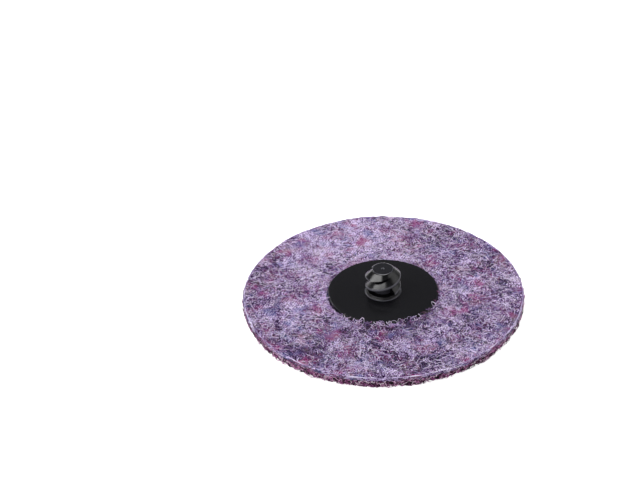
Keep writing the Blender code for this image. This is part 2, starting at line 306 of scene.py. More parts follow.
def felt_colour(material, place, strand, lightness):
    """The carded blend at a place, for a strand value of 0 to 1, as a colour output"""
    drift = add_node(material, "TexNoise", {"Vector": place, "W": PAINTED_LIGHT_DRIFT_SEED, "Detail": 0.0,
                     "Scale": 1 / PAINTED_LIGHT_DRIFT_SIZE}, noise_dimensions="4D").outputs["Fac"]
    cloud = add_node(material, "TexNoise", {"Vector": place, "W": CLOUD_SEED,
                     "Scale": 1 / CLOUD_SIZE, "Detail": 4.0, "Roughness": 0.72},
                     noise_dimensions="4D").outputs["Fac"]
    middle = lightness - SHADE - 0.5 * (TONE_REACH + STRAND_REACH + PAINTED_LIGHT_DRIFT_REACH)
    broad = add_node(material, "Math", {0: drift, 1: PAINTED_LIGHT_DRIFT_REACH, 2: middle},
                     operation="MULTIPLY_ADD").outputs[0]
    spread = add_node(material, "Math", {0: cloud, 1: TONE_REACH, 2: broad},
                      operation="MULTIPLY_ADD").outputs[0]
    position = add_node(material, "Math", {0: strand, 1: STRAND_REACH, 2: spread},
                        operation="MULTIPLY_ADD").outputs[0]
    colour = add_node(material, "ValToRGB", {"Fac": position}, stops=FELT_BLEND).outputs["Color"]
    for tint, seed, share in FELT_TINTS:
        patch = add_node(material, "TexNoise", {"Vector": place, "W": seed, "Detail": 2.5,
                         "Scale": 1 / TINT_SIZE}, noise_dimensions="4D").outputs["Fac"]
        cover = add_node(material, "MapRange", {"Value": patch, "From Min": TINT_STARTS,
                         "From Max": TINT_FULL, "To Max": share}).outputs["Result"]
        colour = add_node(material, "Mix", {MIX_FACTOR: cover, MIX_A: colour,
                          MIX_B: linear(tint)}, data_type="RGBA").outputs[MIX_RESULT]
    return colour


def needled_fleece():
    """The mat between the fibres, matte, painted darker than them as shade deep in the felt, and
    with specks of painted shade where it is open
    """
    material = new_material("needled_nylon_fleece")
    place = add_node(material, "TexCoord", {}).outputs["Object"]
    grain = add_node(material, "TexNoise", {"Vector": place, "Scale": 1 / MAT_GRAIN,
                     "Detail": 2.0}).outputs["Fac"]
    strand = add_node(material, "MapRange", {"Value": grain, "From Min": 0.40,
                      "From Max": 0.60}).outputs["Result"]
    colour = felt_colour(material, place, strand, MAT_PAINTED_SHADE_LIGHTNESS)
    bump = add_node(material, "Bump", {"Height": grain, "Distance": MAT_RELIEF,
                    "Strength": 0.8})
    finish_shader(material, colour, 0.95, 0.15, bump.outputs["Normal"])
    return material


def staple_fibre(name, lightness):
    """Crimped nylon staple: each fibre reads the clouds a little off its own place"""
    material = new_material(name)
    island = add_node(material, "NewGeometry", {}).outputs["Random Per Island"]
    scatter = add_node(material, "TexWhiteNoise", {"W": island}, noise_dimensions="1D")
    middle = add_node(material, "VectorMath", {0: scatter.outputs["Color"], 1: (0.5, 0.5, 0.5)},
                      operation="SUBTRACT").outputs[0]
    place = add_node(material, "TexCoord", {}).outputs["Object"]
    place = add_node(material, "VectorMath", {0: middle, 1: (2 * FIBRE_SHIFT, 2 * FIBRE_SHIFT, 0),
                     2: place}, operation="MULTIPLY_ADD").outputs[0]
    colour = felt_colour(material, place, island, lightness)
    finish_shader(material, colour, 0.6, 0.3)
    return material


print("Felt colours are ready, with clouds of", round(CLOUD_SIZE / MM), "mm in a drift of",
      round(PAINTED_LIGHT_DRIFT_SIZE / MM), "mm")

# %% [markdown]
# ## The backing
# The fleece is needled through a woven scrim, cut round with the web, and pressed down in the
# middle where the button sits. Its face keeps the long swells of the solid, and gets the small
# tufts that a solid is too coarse for. The die that cuts it rounds its rim over.

# %% The backing
FLEECE_RELIEF = 0.12 * MM
FLEECE_PITCH = 5 * MM
FLEECE_TUFT = 0.07 * MM
FLEECE_TUFT_PITCH = 1.1 * MM
BACKING_EDGE_RAGGED = 0.15 * MM
BACKING_NICKS = 19
BACKING_EDGE_ROUND = 0.2 * MM
# The seeds of the noise that the solids have too, and of the fuzz that they lack
SWELL_SEED = 4.4
TUFT_SEED = 8.8
NICK_SEED = 5.5
FUZZ_SEED = 2.6


def fleece_height(x, y):
    """The uneven felt of the back face"""
    swell = lumps(x, y, FLEECE_PITCH, SWELL_SEED)
    tuft = lumps(x, y, FLEECE_PITCH / 3, TUFT_SEED)
    fuzz = lumps(x, y, FLEECE_TUFT_PITCH, FUZZ_SEED)
    return face_height + FLEECE_RELIEF * (swell + 0.8 * tuft) + FLEECE_TUFT * fuzz


def backing_outline(angle):
    return DISC_RADIUS + BACKING_EDGE_RAGGED * around(angle, BACKING_NICKS, NICK_SEED)


def backing_shape(place):
    radius = place.xy.length
    angle = math.atan2(place.y, place.x)
    outward = blend(radius, SEAT_RADIUS + SEAT_SLOPE, DISC_RADIUS)
    stretch = 1 + outward * (backing_outline(angle) / DISC_RADIUS - 1)
    x, y = place.x * stretch, place.y * stretch
    upward = blend(place.z, backing_bottom, face_height) * (radius >= SEAT_RADIUS)
    return Vector((x, y, place.z + upward * (fleece_height(x, y) - face_height)))


def backing_profile():
    edge = BACKING_EDGE_ROUND
    rim = DISC_RADIUS
    dish = SEAT_RADIUS + SEAT_SLOPE
    return ([(0, seat_floor), (SEAT_RADIUS - 0.01 * MM, seat_floor)]
            + spaced((SEAT_RADIUS, seat_floor), (SEAT_RADIUS, face_height), 0.3 * MM)
            + spaced((SEAT_RADIUS, face_height), (rim - edge, face_height), 0.27 * MM)
            + arc(rim - edge, face_height - edge, edge, 90, 0, 3)
            + spaced((rim, face_height - 1.5 * edge), (rim, backing_bottom), 0.2 * MM)
            + [(rim, backing_bottom), (dish, backing_bottom),
               (dish - SEAT_SLOPE, seat_underside), (0, seat_underside)])


backing = turned("fleece_backing", backing_profile(), 600, needled_fleece(), backing_shape)
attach(backing, "root")
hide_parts("scrim_backing")

# %% [markdown]
# ## The scrim that shows through
# The fleece is needled through a woven cloth, and where it is thin the yarns of that cloth show as
# fine slanting lines, about 0.6 mm apart. The yarns are straight tubes that follow the felt, and
# sink into it where the fleece is thick, so that they come and go in patches.

# %% Fibres and yarns as tubes
def tubes(name, paths, radius, material):
    """All the paths as round fibres in one mesh piece"""
    curve = bpy.data.curves.new(name, "CURVE")
    curve.dimensions = "3D"
    curve.bevel_depth = radius
    curve.bevel_resolution = 0
    curve.use_fill_caps = True
    for path in paths:
        spline = curve.splines.new("POLY")
        spline.points.add(len(path) - 1)
        spline.points.foreach_set("co", [value for point in path for value in (*point, 1.0)])
    holder = bpy.data.objects.new(name, curve)
    mesh = bpy.data.meshes.new_from_object(holder)
    bpy.data.objects.remove(holder)
    bpy.data.curves.remove(curve)
    return new_piece(name, mesh, material)


def felt_piece(name, paths, radius, material):
    """Fibres or yarns of the backing, which ride on the disc"""
    piece = tubes(name, paths, radius, material)
    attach(piece, "root")


def grown(count, make_path):
    """So many paths of three points or more"""
    paths = []
    while len(paths) < count:
        path = make_path()
        if len(path) > 2:
            paths.append(path)
    return paths


# %% The scrim's yarns
YARN_PITCH = 0.62 * MM
YARN_RADIUS = 0.17 * MM
YARN_DIRECTION = math.radians(64)
YARN_STEP = 1.2 * MM
YARN_SINK = 0.35
YARN_SINK_IN_FLEECE = 2
YARN_FROM_SEAT = 0.5 * MM
YARN_FROM_RIM = 0.3 * MM
YARN_FUZZ = 0.4 * MM
YARN_LIGHTNESS = 0.72
FLEECE_PATCH = 7 * MM
PATCH_SEED = 31.7


def fleece_cover(x, y):
    """How thickly the fleece covers the scrim, from about -0.5 to 0.5"""
    return lumps(x, y, FLEECE_PATCH, PATCH_SEED)


def yarn_paths():
    """Straight lines over the felt, cut at the button and at the rim"""
    along = Vector((math.cos(YARN_DIRECTION), math.sin(YARN_DIRECTION)))
    across = Vector((-along.y, along.x))
    lines = int(DISC_RADIUS / YARN_PITCH)
    steps = int(DISC_RADIUS / YARN_STEP)
    paths = []
    for line in range(-lines, lines + 1):
        path = []
        for step in range(-steps, steps + 1):
            place = along * step * YARN_STEP + across * line * YARN_PITCH
            if SEAT_RADIUS + YARN_FROM_SEAT < place.length < DISC_RADIUS - YARN_FROM_RIM:
                cover = fleece_cover(*place)
                sink = YARN_RADIUS * (YARN_SINK + YARN_SINK_IN_FLEECE * cover)
                path.append((*place, fleece_height(*place) - sink))
            elif path:
                paths.append(path)
                path = []
        paths.append(path)
    return [path for path in paths if len(path) > 1]


def scrim_yarn():
    """Spun nylon yarn of the scrim, a plain pale lavender under the fleece's own clouds"""
    material = new_material("spun_nylon_scrim_yarn")
    place = add_node(material, "TexCoord", {}).outputs["Object"]
    fuzz = add_node(material, "TexNoise", {"Vector": place, "Scale": 1 / YARN_FUZZ,
                    "Detail": 1.0}).outputs["Fac"]
    strand = add_node(material, "MapRange", {"Value": fuzz, "From Min": 0.25,
                      "From Max": 0.75}).outputs["Result"]
    finish_shader(material, felt_colour(material, place, strand, YARN_LIGHTNESS), 0.8, 0.2)
    return material


felt_piece("scrim_yarns", yarn_paths(), YARN_RADIUS, scrim_yarn())

# %% [markdown]
# ## Loose fibres of the felt
# Up close the felt is a mat of crimped fibres that wander in arcs of a few millimetres and dive in
# and out of the mat. Real staple is 0.05 mm thick, which is a fifth of a pixel here, so the fibres
# are drawn three or four times as thick. Each one is a curve with a round bevel, turned to a mesh.
# Three layers are made: dark ones low in the mat, the lavender mass, and pale ones on top. The
# dark low and pale high layers are partly the blend's own dyed fibres, and partly painted shade
# and light by their depth in the mat.

# %% Loose fibres
FIBRE_STEP = 0.45 * MM
FIBRE_FROM_RIM = 0.2 * MM
PRESSED_RIM = 2 * MM
# Where the fleece covers the scrim less than a draw between these, it has no fibre
THIN_FLEECE = (-0.45, 0.12)


def wandering(draw, x, y, length, curl):
    """The plan of one crimped fibre, as points; curl is in radians a metre"""
    heading = draw.uniform(0, 2 * math.pi)
    turn = draw.gauss(0, curl)
    points = []
    for unused in range(max(3, round(length / FIBRE_STEP))):
        points.append((x, y))
        x += FIBRE_STEP * math.cos(heading)
        y += FIBRE_STEP * math.sin(heading)
        turn += draw.gauss(0, 0.35 * curl)
        heading += turn * FIBRE_STEP
    return points


def lying_fibre(draw, length, curl, rise, sink):
    """A fibre that starts in the mat, arches over its face and dives back"""
    radius = math.sqrt(draw.uniform(SEAT_RADIUS ** 2, DISC_RADIUS ** 2))
    angle = draw.uniform(0, 2 * math.pi)
    plan = wandering(draw, radius * math.cos(angle), radius * math.sin(angle), length, curl)
    thin = fleece_cover(*plan[0]) < draw.uniform(*THIN_FLEECE)
    points = []
    for index, (x, y) in enumerate(plan):
        radius = math.hypot(x, y)
        if thin or not SEAT_RADIUS < radius < DISC_RADIUS - FIBRE_FROM_RIM:
            break
        arch = math.sin(math.pi * index / (len(plan) - 1))
        free = 1 - 0.8 * blend(radius, DISC_RADIUS - PRESSED_RIM, DISC_RADIUS)
        points.append((x, y, fleece_height(x, y) + (rise * free + sink) * arch - sink))
    return points


def felt_layer(name, seed, count, length, curl, rise, sink, radius, material):
    draw = random.Random(seed)
    paths = grown(count, lambda: lying_fibre(draw, length * draw.uniform(0.6, 1.4), curl, rise,
                                             sink))
    felt_piece(name, paths, radius, material)


# One material in three lightnesses: dark for low fibres, partly painted shade, and pale for the
# highest, partly painted light
dark_and_shaded_staple = staple_fibre("dark_and_shaded_nylon_staple", lightness=0.06)
lavender_staple = staple_fibre("lavender_nylon_staple", lightness=0.60)
pale_and_lit_staple = staple_fibre("pale_and_lit_nylon_staple", lightness=1.00)
felt_layer("felt_fibres_low", seed=11, count=1700, length=2.8 * MM, curl=600, rise=0.25 * MM,
           sink=0.15 * MM, radius=0.10 * MM, material=dark_and_shaded_staple)
felt_layer("felt_fibres_mid", seed=12, count=2700, length=3.0 * MM, curl=550, rise=0.30 * MM,
           sink=0.12 * MM, radius=0.085 * MM, material=lavender_staple)
felt_layer("felt_fibres_top", seed=13, count=2200, length=3.2 * MM, curl=650, rise=0.38 * MM,
           sink=0.10 * MM, radius=0.07 * MM, material=pale_and_lit_staple)

# %% [markdown]
# ## The felt round the button
# The button's flange stands a millimetre above the felt. Where it was pressed in, the felt was
# pushed up into a soft bank against the flange's side. It is highest at the near side, where a
# few fibres cross the flange's edge and fine loops lean over it. A fibre of the bank has a level,
# from 0 at the bank's foot to 1 on its back, and levels and crossings grow to the near side.

# %% The bank of felt
BANK_WIDTH = 2.0 * MM
BANK_BACK = 0.2 * MM
BANK_CURL = 800
BANK_FIBRE_LENGTH = 3.2 * MM
BANK_TUFT = 0.4 * MM
BANK_TUFT_PITCH = 0.8 * MM
BANK_TUFT_SEED = 17.3
LOWEST_LEVEL = 0.1
FAR_SIDE_LEVEL = 0.2
NEAR_SIDE_GROWTH = 0.6
CROSSING_SHARE = 0.15
CROSSING_REACH = 0.5 * MM
OVER_FLANGE = 0.12 * MM
NEAR_SIDE = math.radians(-82)
LOOPS = 18
LOOP_RADIUS = 0.04 * MM
LOOPS_MIDDLE = NEAR_SIDE - 0.12
LOOPS_SPREAD = 0.45
LOOP_HALF_WIDTHS = (0.4 * MM, 1.0 * MM)
LOOP_REACHES = (0.36 * MM, 1.32 * MM)
LOOP_LIFTS = (0.1 * MM, 0.6 * MM)
LOOP_FOOT = 0.4 * MM
LOOP_STEPS = 12


def nearness(angle):
    """1 at the near side of the disc, 0 at the far side"""
    return 0.5 + 0.5 * math.cos(angle - NEAR_SIDE)


def bank_height(x, y, level):
    """The height of the pushed-up felt, for a level of 0 at its foot and 1 on its back"""
    radius = math.hypot(x, y)
    rise = 1 - blend(radius, SEAT_RADIUS + BANK_BACK, SEAT_RADIUS + BANK_WIDTH)
    tuft = BANK_TUFT * lumps(x, y, BANK_TUFT_PITCH, BANK_TUFT_SEED)
    return fleece_height(x, y) + rise * (level * FLANGE_STANDS_PROUD + tuft)


def bank_fibre(draw):
    angle = draw.uniform(0, 2 * math.pi)
    near = nearness(angle)
    radius = SEAT_RADIUS + draw.uniform(0.1 * MM, 0.8 * BANK_WIDTH)
    crosses = draw.random() < CROSSING_SHARE * near ** 4
    level = draw.uniform(LOWEST_LEVEL, FAR_SIDE_LEVEL + NEAR_SIDE_GROWTH * near ** 2)
    innermost = FLANGE_RADIUS - CROSSING_REACH if crosses else SEAT_RADIUS
    plan = wandering(draw, radius * math.cos(angle), radius * math.sin(angle), BANK_FIBRE_LENGTH,
                     BANK_CURL)
    points = []
    for x, y in plan:
        radius = math.hypot(x, y)
        if not innermost < radius < SEAT_RADIUS + BANK_WIDTH:
            break
        height = bank_height(x, y, level)
        points.append((x, y, max(height, flange_top + OVER_FLANGE) if crosses else height))
    return points


def edge_loop(draw):
    """A loose loop that stands out of the bank and leans over the flange's edge"""
    middle = LOOPS_MIDDLE + draw.gauss(0, LOOPS_SPREAD)
    width = draw.uniform(*LOOP_HALF_WIDTHS)
    reach = draw.uniform(*LOOP_REACHES)
    lift = draw.uniform(*LOOP_LIFTS)
    points = []
    for step in range(LOOP_STEPS + 1):
        turn = math.pi * step / LOOP_STEPS
        arch = math.sin(turn)
        radius = SEAT_RADIUS + LAYER_GAP - reach * arch
        angle = middle - width / FLANGE_RADIUS * math.cos(turn)
        height = flange_top + OVER_FLANGE - LOOP_FOOT * (1 - arch) + lift * arch
        points.append((radius * math.cos(angle), radius * math.sin(angle), height))
    return points


def pushed_up_felt():
    draw = random.Random(21)
    for name, count, radius, material in (("bank_fibres_low", 700, 0.11 * MM, dark_and_shaded_staple),
                                          ("bank_fibres_mid", 1100, 0.09 * MM, lavender_staple),
                                          ("bank_fibres_top", 350, 0.07 * MM, pale_and_lit_staple)):
        paths = grown(count, lambda: bank_fibre(draw))
        felt_piece(name, paths, radius, material)
    loops = [edge_loop(draw) for unused in range(LOOPS)]
    felt_piece("edge_loops", loops, LOOP_RADIUS, pale_and_lit_staple)


pushed_up_felt()

# %% [markdown]
# ## The cut rim
# The die that cuts the disc presses the rim of the scrim together, so its pale yarn ends make a
# thin bright line round the felt, brighter in some places than in others. Their palest, near white
# tone is partly a painted highlight of the cut edge. A few long strands follow the rim, each
# wandering a little. Below it the felt's cut side gets short ends, more dark than lavender, partly
# as painted shade under the rim, which are laid along the side with a small slope.

# %% The cut rim
RIM_STRANDS = 4
RIM_STEPS = 720
RIM_WANDER = 0.1 * MM
RIM_SWINGS = 40
RIM_LIFTS = 55
RIM_RADIUS = 0.12 * MM
RIM_PATCH = 7 * MM
SIDE_END_RADIUS = 0.09 * MM
SIDE_END_POINTS = (3, 6)
SIDE_END_OFFSET = (-0.04 * MM, 0.08 * MM)
SIDE_END_SLOPE = 0.5
SIDE_TOP = face_height - 2 * RIM_RADIUS


def rim_strand(strand):
    points = []
    for step in range(RIM_STEPS):
        angle = 2 * math.pi * step / RIM_STEPS
        inward = RIM_WANDER * (1.0 + 1.6 * around(angle, RIM_SWINGS, 40.0 + strand))
        radius = backing_outline(angle) - RIM_RADIUS - inward
        x, y = radius * math.cos(angle), radius * math.sin(angle)
        lift = 0.6 * RIM_WANDER * around(angle, RIM_LIFTS, 50.0 + strand)
        points.append((x, y, fleece_height(x, y) + lift))
    return points + points[:1]


def cut_yarn_and_highlight():
    material = new_material("cut_yarn_ends_and_painted_highlight")
    place = add_node(material, "TexCoord", {}).outputs["Object"]
    patch = add_node(material, "TexNoise", {"Vector": place, "Scale": 1 / RIM_PATCH,
                     "Detail": 4.0, "Roughness": 0.7}).outputs["Fac"]
    colour = add_node(material, "ValToRGB", {"Fac": patch},
                      # The near-white end of this ramp is partly a painted highlight of the cut
                      # edge
                      stops=[(0.40, "#7c6894"), (0.50, "#bcaad2"), (0.62, "#f0e8fa")])
    finish_shader(material, colour.outputs["Color"], 0.6, 0.3)
    return material


def cut_side_fibre(draw):
    """A short end of felt in the cut side of the backing"""
    angle = draw.uniform(0, 2 * math.pi)
    height = draw.uniform(backing_bottom, SIDE_TOP)
    slope = draw.uniform(-SIDE_END_SLOPE, SIDE_END_SLOPE)
    points = []
    for unused in range(draw.randint(*SIDE_END_POINTS)):
        radius = backing_outline(angle) + draw.uniform(*SIDE_END_OFFSET)
        points.append((radius * math.cos(angle), radius * math.sin(angle),
                       min(max(height, backing_bottom), SIDE_TOP)))
        angle += FIBRE_STEP / DISC_RADIUS
        height += slope * FIBRE_STEP
    return points


def cut_side(name, seed, count, material):
    draw = random.Random(seed)
    paths = [cut_side_fibre(draw) for unused in range(count)]
    felt_piece(name, paths, SIDE_END_RADIUS, material)


# Dark ends outnumber lavender ones on the cut side, partly as painted shade under the rim
cut_side("side_fibres_dark_and_shaded", 41, 700, dark_and_shaded_staple)
cut_side("side_fibres_lavender", 42, 500, lavender_staple)
strands = [rim_strand(strand) for strand in range(RIM_STRANDS)]
felt_piece("cut_rim", strands, RIM_RADIUS, cut_yarn_and_highlight())

# %% [markdown]
# ## The abrasive web
# Nylon fibres are laid as an open web, needled, then sprayed with resin and grit, which leaves
# lumps of bound fibre with pits of about a millimetre between them. The turned body gets the pits
# of the solid and finer ones, and its cut side is lumpy and torn. Its colour is near black where
# its fine bump sinks, as painted shade in the pits, and pinkish on the lumps, partly the resin's
# own colour and partly a painted highlight.

# %% The web's finish
WEB_GRAIN = 0.9 * MM
WEB_RELIEF = 0.3 * MM


def bound_web_and_painted_light():
    """Maroon resin over nylon, with painted shade in the pits, and pinkish lumps that are partly a
    painted highlight
    """
    material = new_material("resin_bound_web_and_painted_light")
    place = add_node(material, "TexCoord", {}).outputs["Object"]
    grain = add_node(material, "TexNoise", {"Vector": place, "Scale": 1 / WEB_GRAIN,
                     "Detail": 4.0, "Roughness": 0.65}).outputs["Fac"]
    # Low values, where the bump sinks, are painted shade; the pink top is partly a painted
    # highlight
    colour = add_node(material, "ValToRGB", {"Fac": grain}, stops=[
        (0.42, "#080208"), (0.50, "#341230"), (0.57, "#884878"), (0.68, "#cc90c4")])
    bump = add_node(material, "Bump", {"Height": grain, "Distance": WEB_RELIEF, "Strength": 0.9})
    finish_shader(material, colour.outputs["Color"], 0.85, 0.2, bump.outputs["Normal"])
    return material


print("The web's colour changes about every", round(WEB_GRAIN / MM, 1), "mm")


# %% The web's body
WEB_EDGE_RAGGED = 0.45 * MM
EDGE_SWINGS = 5
EDGE_TUFTS = 23
PIT_DEPTH = 0.75 * MM
PIT_PITCH = 3.1 * MM
LAND_RADIUS = 2.5 * MM
FINE_PIT_DEPTH = 0.5 * MM
FINE_PIT_PITCH = 1.2 * MM
SIDE_LUMP = 0.35 * MM
SIDE_LUMP_PITCH = 1.0 * MM
TORN_DEPTH = 1.2 * MM
WEB_EDGE_ROUND = 0.5 * MM
# The seeds of the solid's noise, and of the fine pits that only this script adds
SWING_SEED = 3.7
EDGE_TUFT_SEED = 9.1
PIT_SEED = 1.3
HALF_PIT_SEED = 7.9
FINE_PIT_SEED = 5.2
# Without a seed of its own, noise_vector gives other lumps at every run
LUMP_SEED = 1
noise.seed_set(LUMP_SEED)


def web_outline(angle):
    """The torn edge of the web: broad swings and small tufts"""
    swings = around(angle, EDGE_SWINGS, SWING_SEED)
    tufts = around(angle, EDGE_TUFTS, EDGE_TUFT_SEED)
    return WEB_RADIUS + WEB_EDGE_RAGGED * (0.6 * swings + 0.7 * tufts)


def pit(x, y):
    """How deep the open web is at a point of the working face, 0 on a land"""
    coarse = lumps(x, y, PIT_PITCH, PIT_SEED)
    fine = lumps(x, y, 0.5 * PIT_PITCH, HALF_PIT_SEED)
    open_share = min(1.0, max(0.0, 0.1 + 1.6 * coarse + 0.8 * fine))
    away_from_land = min(1.0, max(0.0, math.hypot(x, y) / LAND_RADIUS - 1.0))
    small = max(0.0, lumps(x, y, FINE_PIT_PITCH, FINE_PIT_SEED)) * 2
    return (PIT_DEPTH * open_share + FINE_PIT_DEPTH * small) * away_from_land


def web_shape(place):
    radius = place.xy.length
    angle = math.atan2(place.y, place.x)
    stretch = web_outline(angle) / WEB_RADIUS if radius > SEAT_RADIUS + 2 * SEAT_SLOPE else 1
    side = blend(radius, WEB_RADIUS - TORN_DEPTH, WEB_RADIUS)
    bulge = noise.noise_vector(place / SIDE_LUMP_PITCH) + 0.6 * noise.noise_vector(
        place / (0.45 * SIDE_LUMP_PITCH))
    moved = Vector((place.x * stretch, place.y * stretch, place.z)) + SIDE_LUMP * side * bulge
    if place.z < 0.3 * WEB_THICKNESS:
        moved.z += pit(moved.x, moved.y) * (1 - 0.5 * side)
    moved.z = min(max(moved.z, 0.0), WEB_THICKNESS + 0.1 * MM)
    return moved


def web_profile():
    """Outwards over the top, round the rim and back below; each stretch ends with its spacing"""
    dish = SEAT_RADIUS + SEAT_SLOPE + LAYER_GAP
    floor = seat_underside - LAYER_GAP
    edge = WEB_EDGE_ROUND
    return ([(0, floor), (dish - SEAT_SLOPE, floor), (dish, WEB_THICKNESS)]
            + spaced((dish + 2 * MM, WEB_THICKNESS), (WEB_RADIUS - 3 * MM, WEB_THICKNESS), 3 * MM)
            + spaced((WEB_RADIUS - 3 * MM, WEB_THICKNESS), (WEB_RADIUS - 0.3 * MM, WEB_THICKNESS),
                     0.4 * MM)
            + spaced((WEB_RADIUS, WEB_THICKNESS - 0.2 * MM), (WEB_RADIUS, edge), 0.22 * MM)
            + arc(WEB_RADIUS - edge, edge, edge, 0, -90, 4)
            + spaced((WEB_RADIUS - edge - 0.35 * MM, 0), (0, 0), 0.42 * MM) + [(0, 0)])


web = turned("web_body", web_profile(), 560, bound_web_and_painted_light(), web_shape)
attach(web, "root")
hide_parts("abrasive_web")

# %% [markdown]
# ## Fibres of the web
# The web's fibres are far coarser than the felt's, up to 0.1 mm, and thick with resin and grit.
# They stick out of the cut side in short torn ends and loops, and run over the working face
# between its pits. They are drawn about twice as thick, pinkish where the grit is worn off or
# the web is freshly cut.

# %% Fibres of the web
# Grit is typically about 0.1 mm, and is drawn coarser so that it shows
GRIT_SIZE = 0.25 * MM
GRIT_RELIEF = 0.08 * MM
WEB_FIBRE_STEP = 0.4 * MM
SIDE_FIBRE_POINTS = (3, 8)
SIDE_FIBRE_CURL = 900
SIDE_FIBRE_DEPTHS = (-0.25 * MM, 0.2 * MM)
SIDE_FIBRE_ARCHES = (0.1 * MM, 0.4 * MM)
SIDE_OVERLAP = 0.3 * MM
FROM_FLOOR = 0.12 * MM
FACE_FIBRE_LENGTHS = (2.5 * MM, 6.0 * MM)
FACE_FIBRE_CURL = 450
FACE_FIBRE_DIPS = (0.15, 0.8)
FACE_FIBRE_LIFT = 0.13 * MM
FACE_FROM_RIM = 0.6 * MM


def gritty_fibre():
    """Nylon coated with resin and grit, each fibre with a tone of its own"""
    material = new_material("grit_coated_nylon_fibre")
    island = add_node(material, "NewGeometry", {}).outputs["Random Per Island"]
    tone = add_node(material, "ValToRGB", {"Fac": island}, stops=[
        (0.0, "#0e0210"), (0.28, "#541c48"), (0.43, "#b0609c"), (0.60, "#e49ed0"),
        (1.0, "#ffecfc")])
    place = add_node(material, "TexCoord", {}).outputs["Object"]
    grit = add_node(material, "TexNoise", {"Vector": place, "Scale": 1 / GRIT_SIZE,
                    "Detail": 1.0}).outputs["Fac"]
    shade = add_node(material, "ValToRGB", {"Fac": grit},
                     stops=[(0.35, "#808080"), (0.6, "#ffffff")]).outputs["Color"]
    colour = add_node(material, "Mix", {MIX_FACTOR: 1.0, MIX_A: tone.outputs["Color"],
                      MIX_B: shade}, data_type="RGBA", blend_type="MULTIPLY")
    bump = add_node(material, "Bump", {"Height": grit, "Distance": GRIT_RELIEF, "Strength": 0.8})
    finish_shader(material, colour.outputs[MIX_RESULT], 0.75, 0.3, bump.outputs["Normal"])
    return material


def side_fibre(draw):
    """A fibre that wanders over the cut side, in and out of it"""
    angle = draw.uniform(0, 2 * math.pi)
    height = draw.uniform(0.1, 1.2) * WEB_THICKNESS
    heading = draw.uniform(0, 2 * math.pi)
    turn = draw.gauss(0, SIDE_FIBRE_CURL)
    depth = draw.uniform(*SIDE_FIBRE_DEPTHS)
    arch = draw.uniform(*SIDE_FIBRE_ARCHES)
    steps = draw.randint(*SIDE_FIBRE_POINTS)
    points = []
    for step in range(steps):
        if not FROM_FLOOR < height < backing_bottom + SIDE_OVERLAP:
            break
        ground = web_outline(angle)
        if height > WEB_THICKNESS:
            ground = max(ground, DISC_RADIUS)
        radius = ground + depth + arch * math.sin(math.pi * step / (steps - 1))
        points.append((radius * math.cos(angle), radius * math.sin(angle), height))
        angle += WEB_FIBRE_STEP * math.cos(heading) / WEB_RADIUS
        height += WEB_FIBRE_STEP * math.sin(heading)
        heading += turn * WEB_FIBRE_STEP
    return points


def face_fibre(draw):
    """A fibre that lies in the working face and dips into its pits"""
    radius = WEB_RADIUS * math.sqrt(draw.random())
    angle = draw.uniform(0, 2 * math.pi)
    plan = wandering(draw, radius * math.cos(angle), radius * math.sin(angle),
                     draw.uniform(*FACE_FIBRE_LENGTHS), FACE_FIBRE_CURL)
    dip = draw.uniform(*FACE_FIBRE_DIPS)
    return [(x, y, FACE_FIBRE_LIFT + dip * pit(x, y)) for x, y in plan
            if math.hypot(x, y) < WEB_RADIUS - FACE_FROM_RIM]


def web_fibres(name, seed, count, make_path, radius, material):
    draw = random.Random(seed)
    paths = grown(count, lambda: make_path(draw))
    piece = tubes(name, paths, radius, material)
    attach(piece, "root")


grit_coated = gritty_fibre()
web_fibres("web_side_fibres", seed=31, count=1700, make_path=side_fibre, radius=0.11 * MM,
           material=grit_coated)
web_fibres("web_face_fibres", seed=32, count=1500, make_path=face_fibre, radius=0.12 * MM,
           material=grit_coated)

# %% [markdown]
# ## The drive button
# The button is injection moulded in one piece from black nylon: a thin flange, a collar, and a
# stud with a two-start thread that about one turn screws home. The thread is a flat slice,
# screwed upwards and trimmed by a turned blank, as a die would cut it. The nylon is smooth with
# a low gloss, and a little duller on the thread. Its colour holds painted light: pale crests, a
# pale edge round the tip and a pale rim round the gate as painted highlights, and near-black
# roots of the thread and gate hole as painted shade. The tip has the mark of the gate through
# which the nylon enters a mould.

# %% The button's finish
SMOOTH_ROUGHNESS = 0.21
THREAD_ROUGHNESS = 0.25
# A mould's own texture is too fine to see here, and is drawn coarser
NYLON_GRAIN = 0.2 * MM
NYLON_RELIEF = 0.01 * MM
# By shares of the flange's radius, from the middle outwards: the gate's hole in painted shade and
# its rim in a painted highlight, the tip, paler than the flange, the tip's edge in a painted
# highlight, the thread's roots and flanks darkening inwards as painted shade, its crests in a
# painted highlight, and the flange
BUTTON_TONES_AND_PAINTED_LIGHT = [
    (0.0130, "#020203"), (0.0140, "#48484e"), (0.031, "#48484e"), (0.036, "#1c1c20"),
    (0.170, "#1c1c20"), (0.176, "#303036"), (0.188, "#303036"), (0.196, "#020203"),
    (0.250, "#060607"), (0.307, "#0a0a0c"), (0.318, "#4e4e54"), (0.328, "#4e4e54"),
    (0.340, "#0e0e11")]


